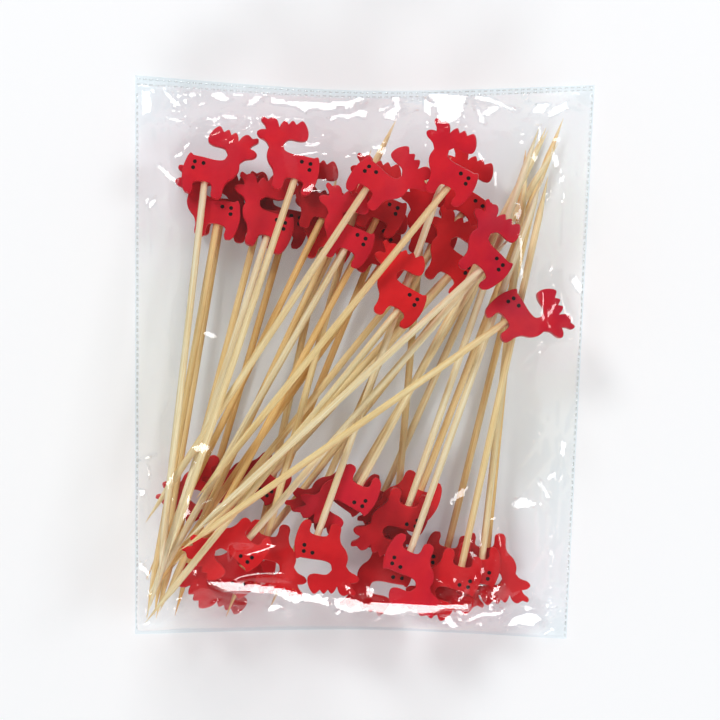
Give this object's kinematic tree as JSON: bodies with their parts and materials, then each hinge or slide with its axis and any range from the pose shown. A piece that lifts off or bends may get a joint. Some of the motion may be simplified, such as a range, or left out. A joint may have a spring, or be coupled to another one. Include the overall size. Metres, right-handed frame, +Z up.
{
  "type": "bag of cocktail picks",
  "caption": "Flat clear film bag holding bamboo cocktail picks, each with a red wooden reindeer cut-out at its blunt end, laid head to tail.",
  "frame": {"origin": "under the middle of the bag's box, on the surface that the bag lies on", "axes": "+Z up out of the front film, +Y towards the bag's top seal, +X to the right as the picture shows it"},
  "size_m": [0.12, 0.1472, 0.0338],
  "materials": {
    "bamboo": "bare, lengthwise grain",
    "red_board": "red paint, satin, on thin board",
    "film": "clear, glossy, crinkled"
  },
  "bodies": {
    "root": {"bottom_pick_01": "red_board", "bottom_pick_02": "red_board", "bottom_pick_03": "red_board", "top_pick_01": "red_board", "top_pick_02": "red_board", "bottom_pick_04": "red_board", "bottom_pick_05": "red_board", "bottom_pick_06": "red_board", "top_pick_03": "red_board", "bottom_pick_07": "red_board", "top_pick_04": "red_board", "top_pick_05": "red_board", "bottom_pick_08": "red_board", "bottom_pick_09": "red_board", "top_pick_06": "red_board", "top_pick_07": "red_board", "top_pick_08": "red_board", "top_pick_09": "red_board", "bottom_pick_10": "red_board", "top_pick_10": "red_board", "top_pick_11": "red_board", "bottom_pick_11": "red_board", "bottom_skewer_12": "bamboo", "bottom_reindeer_12": "red_board", "bottom_skewer_13": "bamboo", "bottom_reindeer_13": "red_board", "top_skewer_12": "bamboo", "top_reindeer_12": "red_board", "bottom_skewer_14": "bamboo", "bottom_reindeer_14": "red_board", "bottom_skewer_15": "bamboo", "bottom_reindeer_15": "red_board", "bottom_skewer_16": "bamboo", "bottom_reindeer_16": "red_board", "top_skewer_13": "bamboo", "top_reindeer_13": "red_board", "top_skewer_14": "bamboo", "top_reindeer_14": "red_board", "top_skewer_15": "bamboo", "top_reindeer_15": "red_board", "top_skewer_16": "bamboo", "top_reindeer_16": "red_board", "bottom_skewer_17": "bamboo", "bottom_reindeer_17": "red_board", "top_skewer_17": "bamboo", "top_reindeer_17": "red_board", "bottom_skewer_18": "bamboo", "bottom_reindeer_18": "red_board", "top_skewer_18": "bamboo", "top_reindeer_18": "red_board", "top_skewer_19": "bamboo", "top_reindeer_19": "red_board", "top_skewer_20": "bamboo", "top_reindeer_20": "red_board", "top_skewer_21": "bamboo", "top_reindeer_21": "red_board", "back_film": "film", "front_film": "film", "side_and_bottom_seam": "film", "top_seal": "film"}
  },
  "joints": []
}
